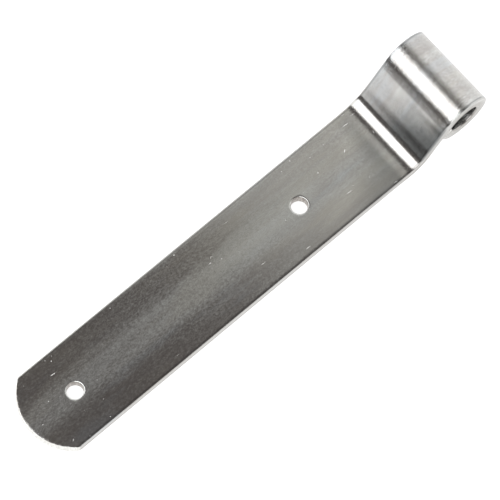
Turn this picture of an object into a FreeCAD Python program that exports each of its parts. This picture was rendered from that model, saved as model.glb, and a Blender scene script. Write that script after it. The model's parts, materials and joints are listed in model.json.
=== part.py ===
"""Strap of a hook-and-band gate hinge: a flat steel bar, sheared round at its free end, punched with
two bolt holes, cranked up near the other end and rolled there into an eye for the hinge pin.

Units are millimetres. The origin is the middle of the pin bore, +X runs from the pin out along the
strap, +Y lies along the pin and +Z points away from the door or gate that the strap is bolted to.
"""
import FreeCAD, Part
import Sketcher
import math
import os

# Driving dimensions: alias, value, what it is.
DIMENSIONS = [
    ("bar_width", 35.0, "width of the flat bar"),
    ("bar_thickness", 5.0, "thickness of the flat bar"),
    ("edge_radius", 0.6, "rolled corners of the flat bar"),
    ("bore_diameter", 12.2, "inside of the rolled eye, for a 12 mm pin"),
    ("crank_angle", 54.0, "slope of the ramp between the strap and the eye, degrees"),
    ("crank_radius", 4.0, "inside radius of the crank, on the show face"),
    ("ramp_length", 22.0, "straight part of the ramp"),
    ("roll_gap", 0.3, "clearance between the roll's sheared end and the ramp"),
    ("roll_lip_angle", 40.0, "opening of the slit at the bore, about the bore's axis, degrees"),
    ("tip_distance", 198.0, "from the bore's axis to the crown of the free end"),
    ("tip_corner", 3.5, "how far the free end's radius exceeds half the bar, which leaves plain corners"),
    ("hole_diameter", 6.6, "bolt hole, clearance for M6"),
    ("hole_lead", 0.5, "rounding that the punch leaves at a hole's mouth"),
    ("hole_tip_distance", 22.0, "from the crown of the free end to the first bolt hole"),
    ("hole_pitch", 110.0, "between the two bolt holes"),
]
TRIM_MARGIN = 10.0  # how far the tool that shears the free end runs past the bar
NODE = "hinge_strap"


def make_sheet(doc):
    """Write the driving dimensions into a spreadsheet and return their values by name."""
    sheet = doc.addObject("Spreadsheet::Sheet", "Dimensions")
    for row, (alias, value, note) in enumerate(DIMENSIONS, start=1):
        sheet.set(f"A{row}", note)
        sheet.set(f"B{row}", str(value))
        sheet.setAlias(f"B{row}", alias)
    doc.recompute()
    return {alias: float(getattr(sheet, alias)) for alias, _, _ in DIMENSIONS}


def new_sketch(body, name, role):
    """Add a sketch to the body on its own origin plane of the given role."""
    plane = next(item for item in body.Origin.OriginFeatures if item.Role == role)
    sketch = body.newObject("Sketcher::SketchObject", name)
    sketch.AttachmentSupport = (plane, [""])
    sketch.MapMode = "FlatFace"
    return sketch


def dimension(sketch, name, expression, *constraint):
    """Add a named dimensional constraint and bind it to the spreadsheet."""
    index = sketch.addConstraint(Sketcher.Constraint(*constraint))
    sketch.renameConstraint(index, name)
    sketch.setExpression(f"Constraints.{name}", expression)


def point(x, z):
    """A point in a sketch's own plane."""
    return FreeCAD.Vector(x, z, 0)


def line(start, end):
    """A straight piece of a sketch."""
    return Part.LineSegment(start, end)


def arc(centre, radius, start_angle, end_angle):
    """A counter-clockwise arc of a sketch, its angles in radians."""
    circle = Part.Circle(centre, FreeCAD.Vector(0, 0, 1), radius)
    return Part.ArcOfCircle(circle, start_angle, end_angle)


def profile_geometry(size):
    """Side view of the bent bar: back line, crank, ramp, eye, and back along the show face.

    The pieces come near enough to their final places for the constraints to settle them.
    """
    slope = math.radians(size["crank_angle"])
    thickness = size["bar_thickness"]
    bore = size["bore_diameter"] / 2
    outside = bore + thickness
    normal = point(math.sin(slope), math.cos(slope))
    down_ramp = point(math.cos(slope), -math.sin(slope))
    origin = point(0, 0)
    ramp_back_top = normal * bore
    ramp_show_top = normal * outside
    ramp_back_foot = ramp_back_top + down_ramp * size["ramp_length"]
    ramp_show_foot = ramp_show_top + down_ramp * size["ramp_length"]
    crank_centre = ramp_show_foot + normal * size["crank_radius"]
    back_radius = size["crank_radius"] + thickness
    show_level = crank_centre.y - size["crank_radius"]
    back_level = crank_centre.y - back_radius
    tip_show = point(size["tip_distance"], show_level)
    tip_back = point(size["tip_distance"], back_level)

    eye_start = math.pi / 2 - slope
    lip = eye_start + 2 * math.pi - math.radians(size["roll_lip_angle"])
    heel = eye_start + 2 * math.pi - math.acos((bore - size["roll_gap"]) / outside)
    lip_point = point(math.cos(lip), math.sin(lip)) * bore
    heel_point = point(math.cos(heel), math.sin(heel)) * outside
    crank_start = -math.pi / 2 - slope
    return [
        line(tip_back, point(crank_centre.x, back_level)),
        arc(crank_centre, back_radius, crank_start, -math.pi / 2),
        line(ramp_back_foot, ramp_back_top),
        arc(origin, bore, eye_start, lip),
        line(lip_point, heel_point),
        arc(origin, outside, eye_start, heel),
        line(ramp_show_top, ramp_show_foot),
        arc(crank_centre, size["crank_radius"], crank_start, -math.pi / 2),
        line(point(crank_centre.x, show_level), tip_show),
        line(tip_show, tip_back),
    ]


def constrain_profile(sketch, size):
    """Tie the side view together and bind its sizes to the spreadsheet."""
    back, crank_back, ramp_back, bore, roll_end, outside, ramp_show, crank_show, show, tip = range(10)
    start, end, centre, origin = 1, 2, 3, -1
    for first, first_end, second, second_end in (
        (back, end, crank_back, end),
        (crank_back, start, ramp_back, start),
        (ramp_back, end, bore, start),
        (outside, start, ramp_show, start),
        (ramp_show, end, crank_show, start),
        (crank_show, end, show, start),
    ):
        sketch.addConstraint(Sketcher.Constraint("Tangent", first, first_end, second, second_end))
    for first, first_end, second, second_end in (
        (bore, end, roll_end, start),
        (roll_end, end, outside, end),
        (show, end, tip, start),
        (tip, end, back, start),
        (bore, centre, origin, start),
        (outside, centre, origin, start),
        (crank_show, centre, crank_back, centre),
    ):
        sketch.addConstraint(Sketcher.Constraint("Coincident", first, first_end, second, second_end))
    for face in (back, show):
        sketch.addConstraint(Sketcher.Constraint("Horizontal", face))
    sketch.addConstraint(Sketcher.Constraint("Vertical", tip))

    slope = math.radians(size["crank_angle"])
    lip = math.radians(size["roll_lip_angle"])
    thickness = size["bar_thickness"]
    bore_radius = size["bore_diameter"] / 2
    sheet = "Dimensions."
    dimension(sketch, "bore_radius", f"{sheet}bore_diameter / 2", "Radius", bore, bore_radius)
    dimension(sketch, "eye_radius", f"{sheet}bore_diameter / 2 + {sheet}bar_thickness",
              "Radius", outside, bore_radius + thickness)
    dimension(sketch, "crank_inside", f"{sheet}crank_radius", "Radius", crank_show, size["crank_radius"])
    dimension(sketch, "crank_outside", f"{sheet}crank_radius + {sheet}bar_thickness",
              "Radius", crank_back, size["crank_radius"] + thickness)
    dimension(sketch, "slope", f"{sheet}crank_angle * 1 deg", "Angle", ramp_show, start, back, end, slope)
    dimension(sketch, "ramp", f"{sheet}ramp_length", "Distance", ramp_back, size["ramp_length"])
    dimension(sketch, "reach", f"{sheet}tip_distance",
              "DistanceX", origin, start, tip, start, size["tip_distance"])
    dimension(sketch, "heel_gap", f"{sheet}roll_gap",
              "Distance", roll_end, end, ramp_back, size["roll_gap"])
    to_ramp = sketch.addGeometry(line(point(0, 0), sketch.getPoint(bore, start)), True)
    to_lip = sketch.addGeometry(line(point(0, 0), sketch.getPoint(bore, end)), True)
    for spoke, rim in ((to_ramp, start), (to_lip, end)):
        sketch.addConstraint(Sketcher.Constraint("Coincident", spoke, start, origin, start))
        sketch.addConstraint(Sketcher.Constraint("Coincident", spoke, end, bore, rim))
    dimension(sketch, "lip", f"{sheet}roll_lip_angle * 1 deg", "Angle", to_lip, start, to_ramp, start, lip)


def bend_bar(body, size):
    """Pad the side view to the width of the bar, half to each side of the pin's middle."""
    sketch = new_sketch(body, "SideProfile", "XZ_Plane")
    sketch.addGeometry(profile_geometry(size), False)
    constrain_profile(sketch, size)
    pad = body.newObject("PartDesign::Pad", "BentBar")
    pad.Profile = sketch
    pad.SideType = "Symmetric"
    pad.setExpression("Length", "Dimensions.bar_width")
    body.Document.recompute()
    return pad


def shear_tip(body, size):
    """Cut the free end to an arc that meets the bar's straight sides at plain corners."""
    radius = size["bar_width"] / 2 + size["tip_corner"]
    centre = point(size["tip_distance"] - radius, 0)
    side = radius + TRIM_MARGIN
    far = size["tip_distance"] + TRIM_MARGIN
    corners = [point(centre.x, radius), point(centre.x, side), point(far, side),
               point(far, -side), point(centre.x, -side), point(centre.x, -radius)]
    sketch = new_sketch(body, "TipOutline", "XY_Plane")
    sketch.addGeometry(arc(centre, radius, -math.pi / 2, math.pi / 2), False)
    for first, second in zip(corners, corners[1:]):
        sketch.addGeometry(line(first, second), False)

    start, end, centre_point, origin = 1, 2, 3, -1
    tip_arc, upper, top, right, bottom, lower = range(6)
    for first, first_end, second, second_end in (
        (tip_arc, end, upper, start), (upper, end, top, start), (top, end, right, start),
        (right, end, bottom, start), (bottom, end, lower, start), (lower, end, tip_arc, start),
    ):
        sketch.addConstraint(Sketcher.Constraint("Coincident", first, first_end, second, second_end))
    for edge in (upper, right, lower):
        sketch.addConstraint(Sketcher.Constraint("Vertical", edge))
    for edge in (top, bottom):
        sketch.addConstraint(Sketcher.Constraint("Horizontal", edge))
    sketch.addConstraint(Sketcher.Constraint("PointOnObject", tip_arc, centre_point, -1))
    for edge in (upper, lower):
        sketch.addConstraint(Sketcher.Constraint("PointOnObject", tip_arc, centre_point, edge))
    sketch.addConstraint(Sketcher.Constraint("Equal", upper, lower))
    sheet = "Dimensions."
    dimension(sketch, "tip", f"{sheet}bar_width / 2 + {sheet}tip_corner", "Radius", tip_arc, radius)
    dimension(sketch, "centre", f"{sheet}tip_distance - {sheet}bar_width / 2 - {sheet}tip_corner",
              "DistanceX", origin, start, tip_arc, centre_point, centre.x)
    dimension(sketch, "margin", f"{TRIM_MARGIN}", "Distance", upper, TRIM_MARGIN)
    dimension(sketch, "overrun", f"{sheet}tip_distance + {TRIM_MARGIN}",
              "DistanceX", origin, start, right, start, far)
    return cut_through(body, sketch, "ShearedTip")


def cut_through(body, sketch, name):
    """Pocket a sketch through everything, up and down, and make sure that it took material away."""
    before = body.Shape.Volume
    pocket = body.newObject("PartDesign::Pocket", name)
    pocket.Profile = sketch
    pocket.Type = "ThroughAll"
    pocket.SideType = "Symmetric"
    body.Document.recompute()
    if not body.Shape.Volume < before:
        raise RuntimeError(f"{name} cut nothing")
    return pocket


def round_edges(body, base, name, wanted, size_name):
    """Fillet the edges of a feature that pass a test, with a radius from the spreadsheet."""
    names = [f"Edge{number}" for number, edge in enumerate(base.Shape.Edges, start=1) if wanted(edge)]
    if not names:
        raise RuntimeError(f"{name} found no edges")
    fillet = body.newObject("PartDesign::Fillet", name)
    fillet.Base = (base, names)
    fillet.setExpression("Radius", f"Dimensions.{size_name}")
    body.Document.recompute()
    return fillet


def is_long_edge(edge, size):
    """True for the bar's own four corners, which follow the bends, but not for its two sheared ends."""
    half_width = size["bar_width"] / 2
    on_side = all(abs(abs(vertex.Point.y) - half_width) < 1e-6 for vertex in edge.Vertexes)
    if not on_side:
        return False
    return isinstance(edge.Curve, Part.Circle) or edge.Length > 2 * size["bar_thickness"]


def is_hole_mouth(edge, size):
    """True for the round edges of the bolt holes on both faces."""
    return (isinstance(edge.Curve, Part.Circle)
            and abs(edge.Curve.Radius - size["hole_diameter"] / 2) < 1e-6
            and abs(abs(edge.Curve.Axis.z) - 1) < 1e-6)


def punch_holes(body, size):
    """Punch the two bolt holes on the strap's centre line."""
    first = size["tip_distance"] - size["hole_tip_distance"]
    radius = size["hole_diameter"] / 2
    sketch = new_sketch(body, "BoltHoles", "XY_Plane")
    centre_point, origin = 3, -1
    normal = FreeCAD.Vector(0, 0, 1)
    for x in (first, first - size["hole_pitch"]):
        hole = sketch.addGeometry(Part.Circle(point(x, 0), normal, radius), False)
        sketch.addConstraint(Sketcher.Constraint("PointOnObject", hole, centre_point, -1))
    sheet = "Dimensions."
    dimension(sketch, "hole", f"{sheet}hole_diameter / 2", "Radius", 0, radius)
    sketch.addConstraint(Sketcher.Constraint("Equal", 0, 1))
    dimension(sketch, "first", f"{sheet}tip_distance - {sheet}hole_tip_distance",
              "DistanceX", origin, 1, 0, centre_point, first)
    dimension(sketch, "pitch", f"{sheet}hole_pitch",
              "DistanceX", 1, centre_point, 0, centre_point, size["hole_pitch"])
    return cut_through(body, sketch, "PunchedHoles")


def make_strap(doc, size):
    """Build the strap in the order that the press shop makes it."""
    body = doc.addObject("PartDesign::Body", "HingeStrap")
    body.Label = NODE
    bend_bar(body, size)
    sheared = shear_tip(body, size)
    round_edges(body, sheared, "RolledCorners", lambda edge: is_long_edge(edge, size), "edge_radius")
    punched = punch_holes(body, size)
    round_edges(body, punched, "HoleMouths", lambda edge: is_hole_mouth(edge, size), "hole_lead")
    body.Placement = FreeCAD.Placement()
    doc.recompute()
    return body


def check(doc, body):
    """Stop if any feature failed, a sketch is loose, or the strap isn't one sound solid."""
    for item in doc.Objects:
        if "Invalid" in item.State or "Error" in item.State:
            raise RuntimeError(f"{item.Label} failed: {item.State}")
        if item.TypeId == "Sketcher::SketchObject" and not item.FullyConstrained:
            raise RuntimeError(f"{item.Label} isn't fully constrained")
    shape = body.Shape
    if shape.isNull() or not shape.isValid() or len(shape.Solids) != 1:
        raise RuntimeError(f"{body.Label} isn't one valid solid")


def main():
    """Build the document and write the strap's STEP file."""
    doc = FreeCAD.newDocument("HingeStrap")
    size = make_sheet(doc)
    strap = make_strap(doc, size)
    check(doc, strap)
    os.makedirs("parts", exist_ok=True)
    strap.Shape.exportStep(f"parts/{strap.Label}.step")
    box = strap.Shape.BoundBox
    print(f"{strap.Label}: {box.XLength:.2f} x {box.YLength:.2f} x {box.ZLength:.2f} mm, "
          f"x {box.XMin:.2f}..{box.XMax:.2f}, z {box.ZMin:.2f}..{box.ZMax:.2f}, "
          f"volume {strap.Shape.Volume:.0f} mm3")


main()
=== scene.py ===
"""Zinc-plated hinge strap: the strap's finished mesh, its plating, and a pale studio around it.

The strap is one bar. Its rounded section is drawn out into the flat strap, and the bolt holes are punched.
The section is then spun round the crank, drawn up the ramp and spun again into the eye for the pin. Last,
the free end is sheared round and the small unevenness of pressed steel is worked in. Sizes are in metres,
in the frame of the CAD part.
"""
import json
import logging
import math
import random
from collections.abc import Callable, Iterable
from dataclasses import dataclass, field
from enum import Enum
from functools import reduce

import bmesh
import bpy
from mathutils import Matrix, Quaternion, Vector


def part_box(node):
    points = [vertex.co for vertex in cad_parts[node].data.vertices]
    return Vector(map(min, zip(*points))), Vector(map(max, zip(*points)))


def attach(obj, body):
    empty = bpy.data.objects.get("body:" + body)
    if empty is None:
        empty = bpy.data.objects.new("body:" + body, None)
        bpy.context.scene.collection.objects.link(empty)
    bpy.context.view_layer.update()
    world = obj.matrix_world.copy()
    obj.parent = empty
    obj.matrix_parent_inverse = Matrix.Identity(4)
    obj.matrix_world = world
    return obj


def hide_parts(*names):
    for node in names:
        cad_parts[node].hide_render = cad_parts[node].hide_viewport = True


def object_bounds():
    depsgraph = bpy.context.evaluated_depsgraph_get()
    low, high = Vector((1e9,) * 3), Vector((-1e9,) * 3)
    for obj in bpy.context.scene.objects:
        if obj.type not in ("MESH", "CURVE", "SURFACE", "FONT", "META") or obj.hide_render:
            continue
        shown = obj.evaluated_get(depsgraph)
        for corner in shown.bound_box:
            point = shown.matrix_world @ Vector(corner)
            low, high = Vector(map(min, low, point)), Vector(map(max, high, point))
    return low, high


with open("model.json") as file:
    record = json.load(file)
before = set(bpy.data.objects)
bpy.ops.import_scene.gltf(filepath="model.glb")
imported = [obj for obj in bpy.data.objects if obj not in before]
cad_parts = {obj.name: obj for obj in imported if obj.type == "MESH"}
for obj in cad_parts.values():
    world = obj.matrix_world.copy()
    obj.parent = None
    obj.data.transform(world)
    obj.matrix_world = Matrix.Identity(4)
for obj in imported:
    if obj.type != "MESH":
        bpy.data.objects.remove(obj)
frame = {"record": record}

CAD_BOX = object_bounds()
NODE = "hinge_strap"
MM = 0.001
TOUCH = 1e-6  # places closer than this are one place
AS_ROLLED = "as_rolled"
WEAR = "wear"
log = logging.getLogger("hinge_strap")


class Finish(Enum):
    """The surfaces of the strap, by the index of their material slot."""

    PLATED = 0
    SHEARED = 1
    PUNCHED = 2


# ---------------------------------------------------------------------------- modelling by operators


def start_clean() -> None:
    """Leave edit mode and deselect everything."""
    if bpy.context.object and bpy.context.object.mode != "OBJECT":
        bpy.ops.object.mode_set(mode="OBJECT")
    bpy.ops.object.select_all(action="DESELECT")


def start_picking(kind: str) -> bmesh.types.BMesh:
    """Turn to points, edges or faces in edit mode, with nothing selected, and return the mesh."""
    bpy.ops.mesh.select_mode(type=kind)
    bpy.ops.mesh.select_all(action="DESELECT")
    return bmesh.from_edit_mesh(bpy.context.object.data)


def pick(mesh: bmesh.types.BMesh,
         wanted: list[bmesh.types.BMVert | bmesh.types.BMEdge | bmesh.types.BMFace]) -> None:
    """Select the wanted points, edges or faces of a mesh in which nothing is selected yet.

    Args:
        mesh: the mesh in edit mode.
        wanted: what is to be selected.
    """
    for part in wanted:
        part.select = True
    mesh.select_flush_mode()
    bmesh.update_edit_mesh(bpy.context.object.data)


def pick_points(rule: Callable[[Vector], bool]) -> None:
    """Select, in edit mode, the points whose place a rule accepts, and nothing else."""
    mesh = start_picking("VERT")
    pick(mesh, [vertex for vertex in mesh.verts if rule(vertex.co)])


def pick_edges(rule: Callable[[bmesh.types.BMEdge], bool]) -> None:
    """Select, in edit mode, the edges that a rule accepts, and nothing else."""
    mesh = start_picking("EDGE")
    pick(mesh, [edge for edge in mesh.edges if rule(edge)])


def pick_faces(rule: Callable[[Vector], bool]) -> None:
    """Select, in edit mode, the faces whose middle a rule accepts, and nothing else."""
    mesh = start_picking("FACE")
    pick(mesh, [face for face in mesh.faces if rule(face.calc_center_median())])


def spread(edge: bmesh.types.BMEdge) -> Vector:
    """How far an edge's two ends lie apart along each axis."""
    gap = edge.verts[0].co - edge.verts[1].co
    return Vector((abs(gap.x), abs(gap.y), abs(gap.z)))


def draw_out(move: Vector) -> None:
    """Extrude the selected ring of edges along a vector, which leaves the new ring selected."""
    bpy.ops.mesh.extrude_region_move(TRANSFORM_OT_translate={"value": tuple(move)})


def ring_in_order(mesh: bmesh.types.BMesh, place: Vector) -> list[bmesh.types.BMVert]:
    """The selected points, in order round a place, from the one that lies towards +X.

    Args:
        mesh: the mesh in edit mode.
        place: the middle of the ring.

    Returns:
        The ring's points.
    """
    before_first = math.radians(3.0)

    def turn(vertex: bmesh.types.BMVert) -> float:
        """How far round the place a point lies."""
        return (math.atan2(vertex.co.y - place.y, vertex.co.x - place.x) + before_first) % (2 * math.pi)

    return sorted((vertex for vertex in mesh.verts if vertex.select), key=turn)


def smooth_step(share: float) -> float:
    """Ease a share from 0 to 1."""
    share = min(1.0, max(0.0, share))
    return share * share * (3 - 2 * share)


def bump_at(distance: float, reach: float) -> float:
    """A smooth hump that is 1 at its middle and fades to nothing at its reach."""
    return math.cos(min(1.0, abs(distance) / reach) * math.pi / 2) ** 2


# ---------------------------------------------------------------------------- the strap


@dataclass(frozen=True)
class Swell:
    """A shallow swell or hollow of the strap's show face.

    along and across are its middle on the unbent bar, height is how far the face stands out there, and
    reach_along and reach_across are how far from there it fades out.
    """

    name: str
    along: float
    height: float
    reach_along: float
    across: float = 0.0
    reach_across: float = 60.0 * MM

    def at(self, along: float, across: float) -> float:
        """The swell's height at a place on the unbent bar.

        Args:
            along: how far along the unbent bar.
            across: how far across from the bar's middle.

        Returns:
            How far the face stands out there.
        """
        if abs(along - self.along) >= self.reach_along or abs(across - self.across) >= self.reach_across:
            return 0.0
        return (self.height * bump_at(along - self.along, self.reach_along)
                * bump_at(across - self.across, self.reach_across))


@dataclass
class BentBar:
    """The strap's middle line, and the way between the bent strap and the bar as it was rolled.

    On the unbent bar, along is measured on the middle line from where the flat strap meets the crank,
    positive towards the free end and negative towards the eye. Depth is measured from the middle line
    towards the show face.

    back_level is the height of the flat strap's back and tip how far its free end reaches. roll_gap is
    the slit between the roll's end and the ramp's back, and lip_angle is how far short of a full turn the
    roll's sheared end stops at the bore.
    """

    width: float
    thickness: float
    bore_radius: float
    back_level: float
    tip: float
    crank_angle: float = math.radians(55.8)
    crank_inside: float = 8.5 * MM
    roll_gap: float = 0.3 * MM
    lip_angle: float = math.radians(40.0)

    def __post_init__(self) -> None:
        """Work out the places of the crank, the ramp and the eye."""
        slope = self.crank_angle
        self.eye_outside = self.bore_radius + self.thickness
        self.out_of_ramp = Vector((math.sin(slope), 0.0, math.cos(slope)))
        self.down_ramp = Vector((math.cos(slope), 0.0, -math.sin(slope)))
        show_level = self.back_level + self.thickness
        rise = (self.eye_outside + self.crank_inside) * math.cos(slope) - self.crank_inside - show_level
        self.ramp = rise / math.sin(slope)
        self.crank_centre = (self.out_of_ramp * (self.eye_outside + self.crank_inside)
                             + self.down_ramp * self.ramp)
        self.middle_level = self.back_level + self.thickness / 2
        self.crank_middle = self.crank_inside + self.thickness / 2
        self.eye_middle = self.bore_radius + self.thickness / 2
        self.crank_length = self.crank_middle * slope
        self.eye_start = math.pi / 2 - slope
        heel = math.acos((self.bore_radius - self.roll_gap) / self.eye_outside)
        self.heel_turn = 2 * math.pi - heel
        self.lip_turn = 2 * math.pi - self.lip_angle
        self.roll_end = -(self.crank_length + self.ramp + self.eye_middle * self.heel_turn)

    def unbend(self, place: Vector) -> tuple[float, float]:
        """Give the place on the unbent bar of a place on the bent strap.

        Args:
            place: a place in or on the bent strap.

        Returns:
            How far along the unbent bar it lies, and its depth.
        """
        if place.x >= self.crank_centre.x:
            return place.x - self.crank_centre.x, place.z - self.middle_level
        out = place.dot(self.out_of_ramp)
        down = place.dot(self.down_ramp)
        if out > self.bore_radius - self.roll_gap / 2 and down > 0.0:
            if down < self.ramp:
                return -(self.crank_length + self.ramp - down), out - self.eye_middle
            spoke = place - self.crank_centre
            turn = math.atan2(-spoke.x, -spoke.z)
            return -self.crank_middle * turn, self.crank_middle - math.hypot(spoke.x, spoke.z)
        turn = (math.atan2(place.z, place.x) - self.eye_start) % (2 * math.pi)
        just_before_eye = 1.97 * math.pi
        if turn > just_before_eye:
            turn -= 2 * math.pi
        return (-(self.crank_length + self.ramp + self.eye_middle * turn),
                math.hypot(place.x, place.z) - self.eye_middle)

    def bend(self, along: float, across: float, depth: float) -> Vector:
        """Give the place on the bent strap of a place on the unbent bar.

        Args:
            along: how far along the unbent bar.
            across: how far across from the bar's middle.
            depth: how far from the middle line towards the show face.

        Returns:
            The place on the bent strap.
        """
        if along >= 0:
            return Vector((self.crank_centre.x + along, across, self.middle_level + depth))
        if along > -self.crank_length:
            turn = -along / self.crank_middle
            radius = self.crank_middle - depth
            spoke = Vector((-math.sin(turn), 0.0, -math.cos(turn))) * radius
            return self.crank_centre + spoke + Vector((0.0, across, 0.0))
        up_ramp = -along - self.crank_length
        if up_ramp < self.ramp:
            on_ramp = self.down_ramp * (self.ramp - up_ramp) + self.out_of_ramp * (self.eye_middle + depth)
            return on_ramp + Vector((0.0, across, 0.0))
        turn = self.eye_start + (up_ramp - self.ramp) / self.eye_middle
        radius = self.eye_middle + depth
        return Vector((math.cos(turn) * radius, across, math.sin(turn) * radius))


@dataclass
class HingeStrap:
    """The strap: one bar, sheared, punched, cranked and rolled.

    corner is the bar's rounded edge and rim the rounding of its two sheared ends. The free end is an arc
    of tip_radius, nibbled in straight cuts that each turn by nibble, and it is worked in over tip_run. The
    slant of the roll's end is worked in over lip_run. patch is half the square that is opened round a bolt
    hole, hole_lead is the rounding of the hole's mouths, bulge is how far the sides stand out in the
    bends, and wear_reach is how far the wear of an edge reaches over the face.
    """

    bar: BentBar
    hole_places: list[Vector]
    hole_radius: float
    corner: float = 0.6 * MM
    corner_steps: int = 4
    cells_across: int = 34
    cells_deep: int = 4
    cell: float = 1.0 * MM
    crank_steps: int = 24
    eye_step: float = math.radians(2.5)
    rim: float = 0.3 * MM
    rim_steps: int = 3
    tip_radius: float = 21.0 * MM
    nibble: float = math.radians(13.0)
    tip_run: float = 15.0 * MM
    lip_run: float = 7.0 * MM
    patch: float = 5.0 * MM
    hole_lead: float = 0.4 * MM
    lead_steps: int = 4
    bulge: float = 0.45 * MM
    swells: tuple[Swell, ...] = (
        Swell("beside_crank", along=7.0 * MM, height=-0.09 * MM, reach_along=7.0 * MM),
        Swell("foot_of_ramp", along=-10.5 * MM, height=0.22 * MM, reach_along=6.0 * MM, across=17.0 * MM),
        Swell("head_of_ramp", along=-27.0 * MM, height=0.12 * MM, reach_along=5.0 * MM),
        Swell("start_of_roll", along=-31.5 * MM, height=-0.17 * MM, reach_along=5.5 * MM),
    )
    wear_reach: float = 0.8 * MM
    ripples: int = 26
    ripple_height: float = 0.035 * MM

    @property
    def lip_slant(self) -> float:
        """How much further the roll's sheared end reaches at the bore than outside."""
        return self.bar.eye_middle * (self.bar.lip_turn - self.bar.heel_turn)

    def build(self) -> bpy.types.Object:
        """Model the strap and return its object.

        Returns:
            The finished strap, without its materials.
        """
        self.draw_section()
        self.draw_flat()
        for place in self.hole_places:
            self.punch(place)
        self.spin_crank_and_eye()
        self.close_up()
        piece = bpy.context.object
        piece.name = "zinc_plated_strap"
        piece.data.name = piece.name
        self.form(piece)
        self.finish_faces(piece)
        return piece

    def draw_section(self) -> None:
        """Draw the rolled bar's section, a rectangle with rounded corners, where the crank ends."""
        start_clean()
        middle = Vector((self.bar.crank_centre.x, 0.0, self.bar.middle_level))
        bpy.ops.mesh.primitive_plane_add(size=1.0, location=middle, rotation=(0.0, math.pi / 2, 0.0))
        bpy.ops.object.transform_apply(location=True, rotation=True, scale=True)
        bpy.ops.object.mode_set(mode="EDIT")
        bpy.ops.mesh.select_all(action="SELECT")
        bpy.ops.transform.resize(value=(1.0, self.bar.width, self.bar.thickness), center_override=middle)
        bpy.ops.mesh.bevel(affect="VERTICES", offset=self.corner, segments=self.corner_steps, profile=0.5)
        bpy.ops.mesh.select_mode(type="FACE")
        bpy.ops.mesh.select_all(action="SELECT")
        bpy.ops.mesh.delete(type="ONLY_FACE")
        pick_edges(lambda edge: spread(edge).y > self.bar.width / 2)
        bpy.ops.mesh.subdivide(number_cuts=self.cells_across - 1)
        pick_edges(lambda edge: spread(edge).z > self.bar.thickness / 2)
        bpy.ops.mesh.subdivide(number_cuts=self.cells_deep - 1)
        bpy.ops.mesh.select_mode(type="VERT")
        bpy.ops.mesh.select_all(action="SELECT")

    def draw_flat(self) -> None:
        """Draw the section out to the free end, cut it into cells and ease its rim."""
        end = Vector((self.bar.tip - self.rim, 0.0, self.bar.middle_level))
        length = end.x - self.bar.crank_centre.x
        draw_out(Vector((length, 0.0, 0.0)))
        self.ease_rim(Vector((1.0, 0.0, 0.0)), end)
        pick_edges(lambda edge: spread(edge).x > length / 2)
        bpy.ops.mesh.subdivide(number_cuts=1)
        pick_edges(lambda edge: spread(edge).x > length / 4)
        bpy.ops.mesh.subdivide(number_cuts=round(length / 2 / self.cell) - 1)

    def ease_rim(self, outward: Vector, middle: Vector) -> None:
        """Round off the selected end ring in a few short steps and close it with a grid.

        Args:
            outward: the direction in which the bar ends.
            middle: the middle of the ring.
        """
        half_width, half_depth = self.bar.width / 2, self.bar.thickness / 2
        across = Vector((0.0, 1.0, 0.0))
        turned = outward.cross(across)
        before, sunk = 0.0, 0.0
        for step in range(1, self.rim_steps + 1):
            angle = math.pi / 2 * step / self.rim_steps
            reach, inset = self.rim * math.sin(angle), self.rim * (1 - math.cos(angle))
            draw_out(outward * (reach - before))
            centre = middle + outward * reach
            narrow = (half_width - inset) / (half_width - sunk)
            thin = (half_depth - inset) / (half_depth - sunk)
            mesh = bmesh.from_edit_mesh(bpy.context.object.data)
            for vertex in (v for v in mesh.verts if v.select):
                spoke = vertex.co - centre
                sideways = across * spoke.dot(across) * narrow
                deep = turned * spoke.dot(turned) * thin
                vertex.co = centre + sideways + deep + outward * spoke.dot(outward)
            bmesh.update_edit_mesh(bpy.context.object.data)
            before, sunk = reach, inset
        self.cap_ring(middle + outward * self.rim, across, turned)

    def cap_ring(self, centre: Vector, across: Vector, turned: Vector) -> None:
        """Fill the selected ring with a grid whose corners are the middles of the rounded corners.

        Args:
            centre: the middle of the ring.
            across: the direction of the bar's width.
            turned: the direction of its thickness.
        """
        mesh = bmesh.from_edit_mesh(bpy.context.object.data)
        ring = [v for v in mesh.verts if v.select]
        corner = max(ring, key=lambda v: (v.co - centre).dot(across) + (v.co - centre).dot(turned))
        mesh.select_history.clear()
        mesh.select_history.add(corner)
        bmesh.update_edit_mesh(bpy.context.object.data)
        half = self.corner_steps // 2
        bpy.ops.mesh.select_mode(type="VERT")
        bpy.ops.mesh.fill_grid(span=self.cells_deep + 2 * half, offset=0, use_interp_simple=False)

    def spin_crank_and_eye(self) -> None:
        """Spin the section round the crank, draw it up the ramp and spin it round the pin."""
        bar = self.bar
        pick_points(lambda place: abs(place.x - bar.crank_centre.x) < TOUCH)
        pin = (0.0, 1.0, 0.0)
        bpy.ops.mesh.spin(steps=self.crank_steps, angle=-bar.crank_angle, center=bar.crank_centre, axis=pin)
        cells = round(bar.ramp / self.cell)
        for _ in range(cells):
            draw_out(bar.down_ramp * (-bar.ramp / cells))
        turn = bar.heel_turn - self.rim / bar.eye_middle
        bpy.ops.mesh.spin(steps=round(turn / self.eye_step), angle=turn, center=(0.0, 0.0, 0.0), axis=pin)
        end = bar.eye_start + turn
        outward = Vector((-math.sin(end), 0.0, math.cos(end)))
        middle = Vector((math.cos(end), 0.0, math.sin(end))) * bar.eye_middle
        self.ease_rim(outward, middle)

    def punch(self, place: Vector) -> None:
        """Punch one bolt hole, with its mouths rounded over.

        Args:
            place: the hole's middle.
        """
        half = self.bar.thickness / 2
        level = self.bar.middle_level

        def in_patch(spot: Vector) -> bool:
            """Whether a face lies on the show face or the back, in the square round the hole."""
            near = max(abs(spot.x - place.x), abs(spot.y - place.y)) < self.patch
            return near and abs(abs(spot.z - level) - half) < TOUCH

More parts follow.
